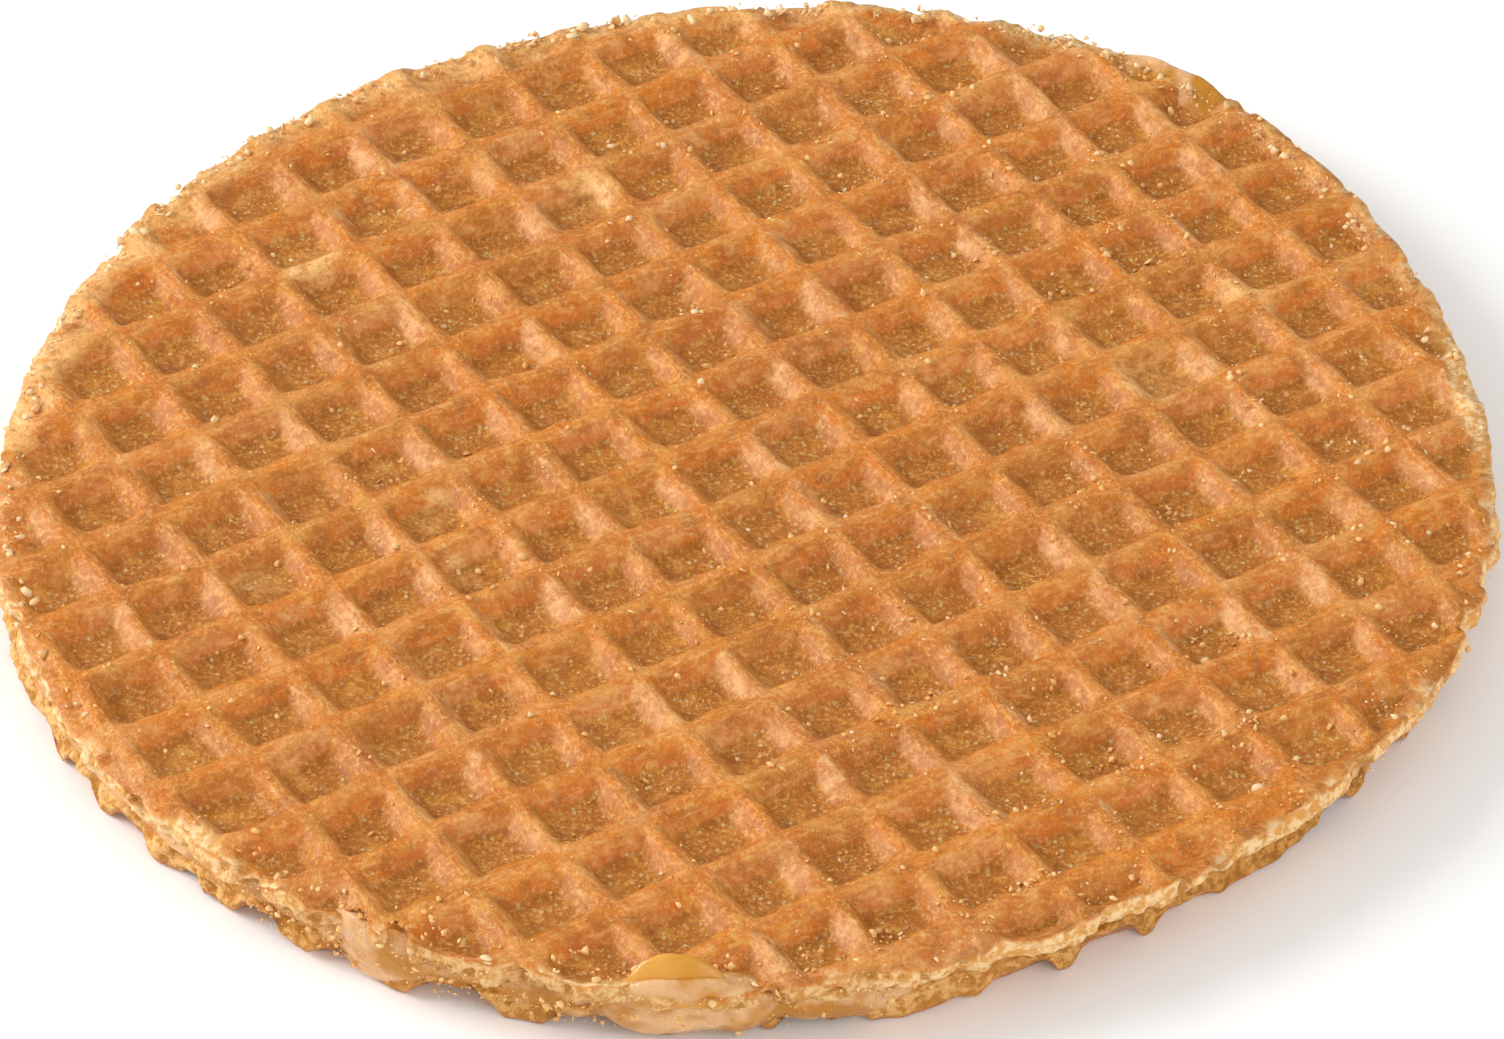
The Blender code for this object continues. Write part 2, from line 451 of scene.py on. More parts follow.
def side_rows(turn, x, y, z, inner, seed):
    """Rows from the rim point down to the cut face, then rings in towards the middle."""
    rows = []
    radius = np.hypot(x, y)
    for k in range(1, SIDE_ROWS + 1):
        t = k / SIDE_ROWS
        level = z + (inner - z) * t
        base = radius + 0.25 * np.sin(np.pi * t) - 0.10 * t
        sx, sy = base * np.cos(turn), base * np.sin(turn)
        out = base + crumb_push(sx, sy, level, seed) * min(1.0, 2.5 * t)
        level = level + 0.06 * lumps(sx, sy, level, 0.8, seed + 70)
        rows.append(np.stack([out * np.cos(turn), out * np.sin(turn), level], 1))
    last = rows[-1]
    for share in INNER_RINGS:
        flat = last.copy()
        flat[:, :2] *= share
        flat[:, 2] = inner
        rows.append(flat)
    return rows


def side_looks(points, top, rows, up, seed):
    """Skin to crumb by depth below the rim, painted shade in the hollows, and how pale the crumb is."""
    below = np.abs(points[:-1, 2] - np.tile(top, rows))
    depth = 0.22 + 0.20 * lumps(points[:-1, 0], points[:-1, 1], 0, 1.4, seed + 80)
    turn = np.arctan2(points[:, 1], points[:, 0])
    right = ease(75, 20, degrees_off(turn, -20))
    front = ease(34, 16, np.abs(np.degrees(turn) + 104))
    browned = 0.40 * front if up > 0 else np.maximum(0.75 * right, 0.40 * front)
    return {
        # rise is low in the hollows of the crumb, where the painted shade goes.
        "rise": 1 - ease(0.05, -0.50, crumb_push(*points.T, seed)),
        "pale": np.zeros(len(points)),
        "crumb": np.append(ease(depth - 0.12, depth + 0.12, below), 1.0),
        "bake": 0.9 - browned,
        "run": np.zeros(len(points)),
    }


# %% [markdown]
# ## The plan mesh of a wafer
# A square grid with even lines would waste its points on flat floors, so the lines stand
# close together on crests and walls and further apart on floors. Squares wholly inside
# the rim are kept. The outermost points are then drawn out to the rim, and their angles
# are evened out with their two neighbours, so that the rim has no long steps.

# %% Plan mesh
HALF_LINES = np.array([0, 0.045, 0.09, 0.135, 0.18, 0.23, 0.30, 0.37, 0.44])
ONE_PITCH = np.concatenate([HALF_LINES, [0.5], 1 - HALF_LINES[:0:-1]])
POCKETS_OUT = 10
RIM_MARGIN = 0.35


def kept_squares(inside):
    """Squares whose four corners are inside, as corner numbers, and their outer edges."""
    number = np.arange(inside.size).reshape(inside.shape)
    keep = inside[:-1, :-1] & inside[1:, :-1] & inside[1:, 1:] & inside[:-1, 1:]
    p, q, r, s = number[:-1, :-1], number[1:, :-1], number[1:, 1:], number[:-1, 1:]
    squares = np.stack([p[keep], q[keep], r[keep], s[keep]], 1)
    wide = np.pad(keep, 1)
    middle = wide[1:-1, 1:-1]
    edges = []
    for free, start, end in (
        (~wide[1:-1, :-2], p, q),
        (~wide[2:, 1:-1], q, r),
        (~wide[1:-1, 2:], r, s),
        (~wide[:-2, 1:-1], s, p),
    ):
        pick = middle & free
        edges.append(np.stack([start[pick], end[pick]], 1))
    return squares, np.concatenate(edges)


def plan_mesh(rim, seed):
    """Grid numbers and places of the kept points, their squares, and the outer edges."""
    lines = (np.arange(-POCKETS_OUT, POCKETS_OUT + 1)[:, None] + ONE_PITCH).ravel()
    a, b = np.meshgrid(lines, lines, indexing="ij")
    x, y = place(a, b, seed)
    inside = np.hypot(x, y) < rim_at(rim, np.arctan2(y, x)) - RIM_MARGIN
    squares, edges = kept_squares(inside)
    used = np.unique(squares)
    renumber = np.full(inside.size, -1)
    renumber[used] = np.arange(len(used))
    a, b, x, y = (v.ravel()[used] for v in (a, b, x, y))
    return a, b, x, y, renumber[squares], renumber[edges]


def evened(angle, after, rounds=24):
    """Each rim angle moves to the mean of itself and its neighbours, many times."""
    before = np.argsort(after)
    for _ in range(rounds):
        ahead = (angle[after] - angle + np.pi) % (2 * np.pi) - np.pi
        behind = (angle[before] - angle + np.pi) % (2 * np.pi) - np.pi
        angle = angle + 0.25 * (ahead + behind)
    return angle


# %% [markdown]
# ## One wafer
# The patterned face takes its height from the relief, less what the rim and the torn
# places take away. From the rim the side rows go down, and rings cross the hidden face
# to a closing point, so the wafer is one closed skin. The lower wafer is the same thing
# turned over, held above the table where its ribs would pass through it.

# %% Wafer generator
def patterned_face(x, y, a, b, rim, crest, up, seed, torn):
    """Level of each point: crest, less pocket depth, with lift, bend and torn places."""
    rise, lift, run, bake = relief(a, b, seed)
    from_rim = rim_at(rim, np.arctan2(y, x)) - np.hypot(x, y)
    pale = 0 * x
    if up > 0:
        rise = 1 - (1 - rise) * rim_fade(x, y, from_rim)
        pale = pale_and_backlit_share(x, y, from_rim)
    else:
        rise = 1 - (1 - rise) * (1 + 0.35 * ease(3.0, 0.5, from_rim))
    rip = torn_share(x, y, from_rim, torn, seed)
    bend = 0.12 * lumps(x, y, 0, 22.0, seed + 40) - 0.18 * ease(3.0, 0.0, from_rim)
    height = -POCKET_DEPTH * (1 - rise) + lift + bend - 0.30 * rip
    height = height + 0.10 * rip * lumps(x, y, 0, 0.7, seed + 41)
    z = crest + up * height
    z = z if up > 0 else np.maximum(z, crest)
    bake = bake * (1 - rip) + 0.95 * rip
    return z, {"rise": rise, "pale": pale, "crumb": rip, "bake": bake, "run": run}


def wafer(name, rim, inner, crest, seed, torn=()):
    """One closed wafer; crest above inner makes an upper one, below a lower one."""
    up = 1 if crest > inner else -1
    a, b, x, y, squares, edges = plan_mesh(rim, seed)
    outline = np.unique(edges)
    start, end = np.searchsorted(outline, edges).T
    after = np.empty(len(outline), int)
    after[start] = end
    turn = evened(np.arctan2(y[outline], x[outline]), after)
    radius = ragged_radius(rim, turn, seed)
    x[outline], y[outline] = radius * np.cos(turn), radius * np.sin(turn)
    a[outline], b[outline] = count_back(x[outline], y[outline])
    z, face = patterned_face(x, y, a, b, rim, crest, up, seed, torn)

    side = side_rows(turn, x[outline], y[outline], z[outline], inner, seed)
    points = np.concatenate([np.stack([x, y, z], 1)] + side + [[[0.0, 0.0, inner]]])
    first, ring = len(x), len(outline)
    rows = [outline] + [first + k * ring + np.arange(ring) for k in range(len(side))]
    bands = [
        np.stack([low[start], low[end], high[end], high[start]], 1)
        for low, high in zip(rows[1:], rows[:-1])
    ]
    pole = np.full(len(start), len(points) - 1)
    faces = [squares] + bands + [np.stack([rows[-1][end], rows[-1][start], pole], 1)]
    if up < 0:
        faces = [f[:, ::-1] for f in faces]
    rest = side_looks(points[first:], z[outline], len(side), up, seed)
    values = {key: np.concatenate([face[key], rest[key]]) for key in face}
    grid = np.stack(count_back(points[:, 0], points[:, 1]), 1)
    grid[:first] = np.stack([a, b], 1)
    return make_piece(name, points, faces, values, grid)


# %% Make both wafers
UPPER_SEED, LOWER_SEED = 11, 47
upper = wafer("upper_waffle", TOP_RIM, UPPER_CUT, UPPER_CREST, UPPER_SEED, TORN)
lower = wafer("lower_waffle", LOW_RIM, LOWER_CUT, LOWER_CREST, LOWER_SEED)

# %% [markdown]
# ## Where the syrup ran
# Hot syrup is pressed out to the rim and, at a few angles, over the cut sides. A fluid
# simulation could make this, but it would never run out at the wanted places. A short
# list of smooth humps says how far the lip goes out, down and up at each angle.

# %% Runs of syrup
RUNS = (                  # middle and half-width in degrees, then out, down and up in mm
    (-117, 6.0, 0.22, 1.8, 1.5),
    (-104, 6.0, 0.10, 1.3, 0.5),
    (-94, 8.5, 0.75, 1.6, 1.9),
    (-83, 9.0, 0.25, 1.0, 0.2),
    (55, 13.0, 1.0, 0.8, 1.9),
    (84, 5.0, 0.30, 0.4, 1.2),
    (-160, 9.0, 0.10, 0.3, 0.1),
)


def run_out(turn):
    """The highest of the humps: how far the lip goes out, down and up at each angle."""
    total = np.zeros((3,) + turn.shape)
    for middle, half, *reach in RUNS:
        hump = ease(half, half * 0.25, degrees_off(turn, middle))
        total = np.maximum(total, hump * np.array(reach)[:, None])
    return total


# %% [markdown]
# ## Syrup layer
# The layer is one profile carried round the biscuit: in from the middle, out past the
# wafers, round its swollen edge and back. It overlaps both wafers by a hair, as sticky
# syrup does, so no gap shows. Where it ran out, the lip wobbles in drips.

# %% Syrup layer
OVERLAP = 0.12
AROUND = 1080
LIP_STEPS = 14


def lip_rows(cx, sy, turn, seed):
    """Radius and level of each row: half a circle of swelling between bottom and top."""
    out, down, up = run_out(turn)
    upper_rim, lower_rim = rim_at(TOP_RIM, turn), rim_at(LOW_RIM, turn)
    edge = np.minimum(upper_rim, lower_rim) - 0.35 + 0.16 * rough(50 * cx, 50 * sy, 0, 3.5, seed)
    over = ease(0.05, 0.35, out)
    face_low = edge * (1 - over) + (lower_rim - 0.15) * over
    face_high = edge * (1 - over) + (upper_rim - 0.15) * over
    down = down * (1 + 0.25 * lumps(50 * cx, 50 * sy, 5, 2.5, seed + 4))
    up = up * (1 + 0.30 * lumps(50 * cx, 50 * sy, 9, 2.5, seed + 5))
    low, high = LOWER_CUT - OVERLAP, UPPER_CUT + OVERLAP
    rows = [(edge * 0.5, low), (edge - 2.0, low)]
    for k in range(LIP_STEPS + 1):
        t = k / LIP_STEPS
        base = face_low * (1 - t) + face_high * t
        level = low - down + (high + up - low + down) * (0.5 - 0.5 * np.cos(np.pi * t))
        wobble = 0.26 * over * lumps(50 * cx, 50 * sy, level, 1.6, seed + 8)
        wobble = wobble + 0.16 * over * lumps(50 * cx, 50 * sy, level, 0.8, seed + 9)
        rows.append((base + (0.16 + out + wobble) * np.sin(np.pi * t) ** 0.7, level))
    return rows + [(edge - 2.0, high), (edge * 0.5, high)]


def syrup_layer(seed):
    """Each row becomes a ring; the rings close on a point below and a point above."""
    turn = np.linspace(-np.pi, np.pi, AROUND, endpoint=False)
    cx, sy = np.cos(turn), np.sin(turn)
    rows = lip_rows(cx, sy, turn, seed)
    rings = [np.stack([r * cx, r * sy, z + 0 * turn], 1) for r, z in rows]
    poles = [[0, 0, rows[0][1]], [0, 0, rows[-1][1]]]
    return make_piece("syrup_layer", np.concatenate(rings + [poles]), closed_rings(len(rows), AROUND))


syrup = syrup_layer(71)

# %% [markdown]
# ## The drop that climbed the rim
# At the front a drop of clear amber syrup stands over the rim like a low arch, and its
# foot goes into the tan band below. A ball stretched along the rim and leaned inwards
# is enough, because only its upper half shows.

# %% Syrup drop
DROP_TURN = -94.8         # degrees round the rim
DROP_HALF = (3.0, 0.50, 1.8)
DROP_LEAN = -20


def drop(name, radius, level, seed):
    """Unit ball times half size (along, out, up), narrowed upwards, leaned, bent round."""
    u = np.linspace(0, 2 * np.pi, 64, endpoint=False)
    v = np.linspace(np.pi, 0, 34)[1:-1]
    uu, vv = np.meshgrid(u, v)
    ball = np.stack([np.sin(vv) * np.sin(uu), np.sin(vv) * np.cos(uu), np.cos(vv)], -1)
    ball = np.concatenate([ball.reshape(-1, 3), [[0, 0, -1], [0, 0, 1]]])
    ball = np.sign(ball) * np.abs(ball) ** 0.9
    swell = 1 + 0.06 * rough(*(ball.T * 2.0), 1.3, seed)
    along, out, up = (ball * swell[:, None] * np.array(DROP_HALF)).T
    along = along * (1 - 0.22 * up / DROP_HALF[2])
    c, s = np.cos(np.radians(DROP_LEAN)), np.sin(np.radians(DROP_LEAN))
    out, up = out * c + up * s, up * c - out * s
    r = radius + out - along**2 / (2 * radius)
    c, s = np.cos(np.radians(DROP_TURN)), np.sin(np.radians(DROP_TURN))
    points = np.stack([r * c - along * s, r * s + along * c, level + up], 1)
    return make_piece(name, points, closed_rings(len(v), len(u)))


drop_radius = rim_at(TOP_RIM, np.radians(DROP_TURN)) - 0.6
front_drop = drop("syrup_drop", drop_radius, UPPER_CREST - 0.55, 5)

# %% [markdown]
# ## Crumbs
# Cutting and stacking leaves crumbs on the grid, more on one half than the other, and
# flakes along the rim. Particles would be lost in the export, so each kind is one mesh:
# a rough pebble of 20 faces, repeated with its own turn, size and place.

# %% Crumb generator
def pebble():
    """Twelve corners of an icosahedron, from the golden ratio, and its twenty faces."""
    gold = (1 + 5**0.5) / 2
    signs = [(s, t * gold) for s in (-1, 1) for t in (-1, 1)]
    v = [(0, s, t) for s, t in signs] + [(s, t, 0) for s, t in signs] + [(t, 0, s) for s, t in signs]
    v = np.array(v) / np.hypot(1, gold)
    faces = []
    for p, q, r in combinations(range(12), 3):
        if min(v[p] @ v[q], v[q] @ v[r], v[p] @ v[r]) > 0.4:
            flip = np.cross(v[q] - v[p], v[r] - v[p]) @ v[p] < 0
            faces.append((p, r, q) if flip else (p, q, r))
    return v, np.array(faces)


def grains(name, rng, places, size):
    """One mesh of pebbles, each with its own turn, squash and knobbly corners."""
    shape, faces = pebble()
    count = len(places)
    turn = np.linalg.qr(rng.normal(size=(count, 3, 3)))[0]
    turn = turn * np.sign(np.linalg.det(turn))[:, None, None]
    squash = rng.uniform(0.25, 1.25, (count, 1, 3))
    knobs = 1 + 0.32 * rng.normal(size=(count, len(shape), 1)).clip(-1.8, 1.8)
    each = (shape * squash * knobs) @ turn * (size / 2)[:, None, None]
    points = (each + places[:, None]).reshape(-1, 3)
    index = (faces + np.arange(count)[:, None, None] * len(shape)).reshape(-1, 3)
    tone = np.repeat(rng.random(count), len(shape))
    return make_piece(name, points, [index], {"tone": tone})


# %% [markdown]
# ## Crumbs on the grid
# Crumbs fall singly and in small heaps. They must rest on the ribs and floors, so they
# ask the same relief that shaped the wafer how high it is under them.

# %% Crumbs on the grid
def clustered(rng, count, weight):
    """Two in five spots fall singly, the rest in heaps; kept where weight is high."""
    x, y = rng.uniform(-50, 50, (2, count * 8))
    heap = rng.uniform(-50, 50, (2, count // 9))
    pick = rng.integers(0, heap.shape[1], len(x))
    near = heap[:, pick] + rng.normal(0, 0.6, (2, len(x)))
    single = rng.random(len(x)) < 0.4
    x, y = np.where(single, x, near[0]), np.where(single, y, near[1])
    rim = rim_at(TOP_RIM, np.arctan2(y, x))
    fit = (np.hypot(x, y) < rim - 0.6) & (rng.random(len(x)) < weight(x))
    return x[fit][:count], y[fit][:count]


def crumbs(name, count, small, large, seed, weight):
    """Pebbles on the upper face, bedded a third deep; most are near the small size."""
    rng = np.random.default_rng(seed)
    x, y = clustered(rng, count, weight)
    a, b = count_back(x, y)
    px, py = place(a, b, UPPER_SEED)
    rise, lift, _, _ = relief(a, b, UPPER_SEED)
    from_rim = rim_at(TOP_RIM, np.arctan2(y, x)) - np.hypot(x, y)
    rise = 1 - (1 - rise) * rim_fade(x, y, from_rim)
    size = small * (large / small) ** (rng.random(len(x)) ** 2.6)
    z = UPPER_CREST - POCKET_DEPTH * (1 - rise) + lift + 0.12 * size
    z = z - 0.18 * ease(3.0, 0.0, from_rim)
    return grains(name, rng, np.stack([px, py, z], 1), size)


pale_crumbs = crumbs("pale_crumbs", 900, 0.12, 0.52, 3, lambda x: 0.25 + 0.6 * ease(-30, 45, x))
gold_crumbs = crumbs("golden_crumbs", 2600, 0.12, 0.62, 4, lambda x: 0.4 + 0.4 * ease(-20, 40, x))

# %% [markdown]
# ## Crumbs and flakes at the rim
# Crumbs stick to the cut side, thickest where syrup ran out at the front. Flakes of
# skin and crumb lie loose along the top edge, mostly at the back. Both come from one
# function that is told the middle angle and the share that lies on the edge.

# %% Crumbs at the rim
def rim_crumbs(name, count, small, large, seed, middle, half, upper_share):
    """Angles kept near the middle; radius and level follow the side or the top edge."""
    rng = np.random.default_rng(seed)
    turn = rng.uniform(-np.pi, np.pi, count * 5)
    likely = 0.08 + 0.92 * ease(half, half * 0.5, degrees_off(turn, middle))
    turn = turn[rng.random(len(turn)) < likely][:count]
    level = rng.uniform(0.6, UPPER_CREST - 0.6, len(turn))
    out, _, _ = run_out(turn)
    rim = np.where(level > 3, rim_at(TOP_RIM, turn), rim_at(LOW_RIM, turn))
    r = rim + 0.02 + out * np.exp(-(((level - 2.9) / 1.6) ** 2)) + rng.normal(0, 0.08, len(turn))
    on_edge = rng.random(len(turn)) < upper_share
    level = np.where(on_edge, UPPER_CREST - rng.uniform(0.1, 0.6, len(turn)), level)
    r = np.where(on_edge, rim - rng.uniform(0.0, 1.3, len(turn)), r)
    size = small * (large / small) ** (rng.random(len(turn)) ** 1.9)
    return grains(name, rng, np.stack([r * np.cos(turn), r * np.sin(turn), level], 1), size)


edge_crumbs = rim_crumbs("side_crumbs", 1100, 0.12, 0.55, 5, -105, 34, 0.25)
rim_flakes = rim_crumbs("rim_flakes", 1100, 0.15, 0.80, 6, 110, 115, 0.9)

# %% [markdown]
# ## Colour and nodes
# Colours are written as the hex values a painter would pick and are turned to linear
# light once. One helper adds a node, sets its inputs, links whatever is passed as a
# socket, and hands back one of its outputs.

# %% Node helper
def hexa(code):
    """sRGB hex to linear RGBA: low values divided, the rest raised to 2.4."""
    parts = [int(code[k:k + 2], 16) / 255 for k in (0, 2, 4)]
    return tuple(c / 12.92 if c <= 0.04045 else ((c + 0.055) / 1.055) ** 2.4 for c in parts) + (1,)


def add(tree, kind, inputs=None, output=0, **settings):
    """One node with its settings; each input is a value or another node's output."""
    node = tree.nodes.new("ShaderNode" + kind)
    for key, value in settings.items():
        setattr(node, key, value)
    for key, value in (inputs or {}).items():
        socket = node.inputs[key]
        if isinstance(value, bpy.types.NodeSocket):
            tree.links.new(value, socket)
        else:
            socket.default_value = value
    return node.outputs[output] if len(node.outputs) else node


def new_material(name):
    """A material with an empty node tree, ready for a surface."""
    material = bpy.data.materials.new(name)
    material.use_nodes = True
    material.node_tree.nodes.clear()
    print("material", name)
    return material, material.node_tree


# %% [markdown]
# ## Colour in thin coats
# A baked skin has a dozen tones that follow the ribs, the bake and several sizes of
# grain. A tree mixed node by node soon can't be read. So colour goes on in coats, as a
# glazier works: each coat has a colour and some terms, and its share is their product.
# A term is a number, the name of a field, or a field with two levels between which it
# rises as an S-curve (from 0 to 1, or between two other ends).

# %% Coats
def share_of(tree, fields, terms):
    """The product of the terms, as one socket or one number."""
    share = None
    for term in terms:
        value = fields[term] if isinstance(term, str) else term
        if isinstance(term, tuple):
            field, low, high, *ends = term
            least, most = ends or (0.0, 1.0)
            value = add(tree, "MapRange", {0: fields[field], 1: low, 2: high, 3: least, 4: most},
                        interpolation_type="SMOOTHSTEP")
        if share is None:
            share = value
        else:
            share = add(tree, "Math", {0: share, 1: value}, operation="MULTIPLY")
    return share


def coated(tree, fields, colour, coats):
    """Starts from a colour and mixes each coat's colour over it by the coat's share."""
    colour = hexa(colour) if isinstance(colour, str) else colour
    for paint, *terms in coats:
        paint = hexa(paint) if isinstance(paint, str) else paint
        share = share_of(tree, fields, terms)
        colour = add(tree, "Mix", {0: share, 6: colour, 7: paint}, 2, data_type="RGBA")
    return colour


# %% [markdown]
# ## Fields of the wafer skin
# The point values made with the shape (rise, pale, crumb, bake, run) carry what depends
# on place. Noises add mottling of several sizes. Fine lines follow the ribs, because the
# iron's grooves are scratched along them, so their noise is stretched in rib units.
# Steam leaves small bubbles in the floors: dots round scattered points, where only some
# of the points count. An image could hold all this, but would blur close up.

# %% Wafer fields
NOISES = (                # name, size in mm, detail, roughness
    ("broad", 8.0, 2.0, 0.5),
    ("patch", 3.2, 2.0, 0.5),
    ("blotch", 1.5, 3.0, 0.55),
    ("grain", 0.7, 4.0, 0.7),
    ("fine", 0.32, 4.0, 0.8),    # real bubbles go down to 0.1 mm, finer than the eye sees here
)
LINE_LONG, LINE_THIN = 1.3, 0.30
BUBBLE_CELL = 0.46        # mm; real ones are 0.1 to 0.5 mm apart, these are the larger ones


def wafer_fields(tree):
    """Sockets by name: point values, noises, lines, walls, specks and bubbles."""
    where = add(tree, "TexCoord", output="Object")
    fields = {}
    for name in ("rise", "crumb", "bake", "pale", "run"):
        fields[name] = add(tree, "Attribute", output="Fac", attribute_name=name)
    for name, size, detail, rough_share in NOISES:
        fields[name] = add(tree, "TexNoise", {"Vector": where, "Scale": 1 / (size * MM),
                                              "Detail": detail, "Roughness": rough_share})
    ribs = add(tree, "UVMap", uv_map="ribs")
    lines = []
    for wide, high in ((LINE_LONG, LINE_THIN), (LINE_THIN, LINE_LONG)):
        put = add(tree, "Mapping", {"Vector": ribs, "Scale": (PITCH_A / wide, PITCH_B / high, 1)})
        lines.append(add(tree, "TexNoise", {"Vector": put, "Scale": 1.0, "Detail": 3.0, "Distortion": 0.6}))
    fields["line"] = add(tree, "Mix", {0: fields["run"], 2: lines[1], 3: lines[0]})

    on_floor = share_of(tree, fields, [("rise", 0.34, 0.04)])
    fields["on_wall"] = add(tree, "Math", {0: 1.0, 1: on_floor}, operation="SUBTRACT")
    fields["on_floor"] = on_floor
    # lit: floors and the wall family that faces the lamp; specks are painted stronger there, the light ones
    # partly as glints.
    fields["lit"] = add(tree, "Math", {0: fields["run"], 1: on_floor}, operation="ADD")
    amount = add(tree, "Math", {0: on_floor, 1: 0.26, 2: 0.44}, operation="MULTIPLY_ADD")
    fields["speck"] = share_of(tree, fields, [amount, ("lit", 0.0, 1.0, 0.7, 1.0)])

    cells = add(tree, "TexVoronoi", {"Vector": where, "Scale": 1 / (BUBBLE_CELL * MM)}, "Distance")
    fields["near"] = cells
    fields["chance"] = add(tree, "SeparateColor", {"Color": cells.node.outputs["Color"]})
    weight = add(tree, "Math", {0: on_floor, 1: 0.62, 2: 0.14}, operation="MULTIPLY_ADD")
    fields["bubble"] = share_of(tree, fields, [("near", 0.46, 0.207), ("chance", 0.52, 0.72), weight,
                                               ("grain", 0.40, 0.58, 0.25, 1.0)])
    return fields


# %% [markdown]
# ## Baked wafer
# Wafer is flour, butter, sugar and egg pressed in a hot iron. It browns where the iron
# presses hardest: amber on the ribs and walls, duller brown on the pocket floors. Butter
# leaves the skin slightly glossy, and thin dough lets a little light through; the deeper
# orange of the walls that face the camera is a painted glow for it, and the pinkish pale
# of the walls that face the lamp is partly a painted sheen. Where the skin is cut or
# torn, cream crumb shows. The lower wafer took more heat and is darker.

# %% Wafer material
def wafer_material(name, floor, wall, glow_wall, crest, cream, shade):
    material, tree = new_material(name)
    fields = wafer_fields(tree)
    floor_or_wall = [
        coated(tree, fields, on_wall, [(on_floor, "on_floor")])
        for on_wall, on_floor in (("F8C678", "ECB458"), ("B85E12", "9C581C"))
    ]
    # The base colour is for the wall family that faces the camera: a painted glow, saturated orange for
    # light passing through the thin dough.
    skin = coated(tree, fields, glow_wall, (
        (wall, "run"),                                                # walls of one family
        (floor, ("rise", 0.34, 0.02)),                                # pocket floors
        (crest, ("rise", 0.60, 0.98)),                                # flat tops of the ribs
        ("B8681A", ("broad", 0.42, 0.66, 0.0, 0.45)),                 # uneven heat of the iron
        ("BE7210", ("bake", 0.40, 0.05), "on_wall", 0.7),             # deep walls that glow orange
        ("AA600E", ("blotch", 0.52, 0.66, 0.0, 0.65)),                # darker freckles of sugar
        ("DE963A", ("blotch", 0.47, 0.34, 0.0, 0.6)),                 # lighter ones
        ("A45C0C", ("grain", 0.47, 0.32, 0.0, 0.45)),
        ("E4A250", ("grain", 0.54, 0.70, 0.0, 0.45)),
        # Pinkish pale walls: partly pale bake, partly a painted sheen, strongest on the wall family that
        # faces the lamp.
        ("E8B27A", ("bake", 0.55, 1.10), ("rise", 0.05, 0.35), ("blotch", 0.56, 0.40, 0.35, 1.0),
         ("grain", 0.42, 0.56, 0.45, 1.0), ("run", 0.0, 1.0, 0.35, 0.75)),    # pinkish pale walls
        ("E4A452", ("patch", 0.50, 0.64), ("rise", 0.62, 0.95), 0.35),        # lighter patches on the rib tops
        # Pale spots, and the back rim band, which is partly painted light.
        ("F6C276", "pale", ("rise", 0.05, 0.35, 0.30, 1.0), ("grain", 0.38, 0.56, 0.3, 0.9)),
        ("F4BC70", ("line", 0.55, 0.67, 0.0, 0.32), "on_wall"),       # light and dark scratches
        ("B45E14", ("line", 0.45, 0.33, 0.0, 0.40), "on_wall"),
        (floor_or_wall[0], ("fine", 0.52, 0.62), "speck"),            # light specks, partly painted glints, and dark specks
        (floor_or_wall[1], ("fine", 0.47, 0.37, 0.0, 0.7), "speck"),
        ("F3CE8C", "bubble"),
    ))
    brown = coated(tree, fields, "A0661C", [("D2943C", ("grain", 0.40, 0.60))])
    inside = coated(tree, fields, shade, (
        (cream, ("grain", 0.42, 0.58)),
        ("C07C22", ("rise", 0.65, 0.15, 0.0, 0.75)),                  # painted shade in hollows, golden-brown for light through the dough
        (brown, ("bake", 0.85, 0.15, 0.0, 0.85)),                     # browned at the cut
    ))
    colour = coated(tree, fields, skin, [(inside, "crumb")])

    lines = share_of(tree, fields, ["line", "on_wall"])
    height = add(tree, "Math", {0: fields["fine"], 1: fields["speck"], 2: fields["grain"]},
                 operation="MULTIPLY_ADD")
    height = add(tree, "Math", {0: fields["bubble"], 1: 0.5, 2: height}, operation="MULTIPLY_ADD")
    height = add(tree, "Math", {0: lines, 1: 0.35, 2: height}, operation="MULTIPLY_ADD")
    bump = add(tree, "Bump", {"Strength": 1.0, "Distance": 0.00026, "Height": height})
    gloss = share_of(tree, fields, [("blotch", 0.3, 0.7, 0.30, 0.48)])
    dull = add(tree, "Math", {0: fields["crumb"], 1: 0.35, 2: gloss}, operation="MULTIPLY_ADD")
    skin_bsdf = add(tree, "BsdfPrincipled", {
        "Base Color": colour, "Roughness": dull, "Normal": bump, "IOR": 1.40,
        "Coat Weight": 0.12, "Coat Roughness": 0.20, "Coat IOR": 1.46,
        "Subsurface Weight": 0.06, "Subsurface Radius": (0.0010, 0.0005, 0.0002),
    })
    add(tree, "OutputMaterial", {0: skin_bsdf})
    return material


# The third colour of each is the painted glow of the walls that face the camera.
upper_skin = wafer_material("baked_wafer_upper", "BC7016", "C67A2A", "D67400", "D27600", "F6D098", "DE9E4E")
lower_skin = wafer_material("baked_wafer_lower", "A66628", "BC7024", "BC7024", "C47A2E", "E8B670", "C4842E")

# %% [markdown]
# ## Syrup
# Stroop is caramel of sugar syrup and butter. Thin, it is a clear amber; pressed out and
# full of air and crumbs, it is an opaque butterscotch tan. Its surface is smooth and
# glossy with soft lumps. A cloud between the two colours and some light under the skin
# give both, without a real volume, which would be slow and noisy.

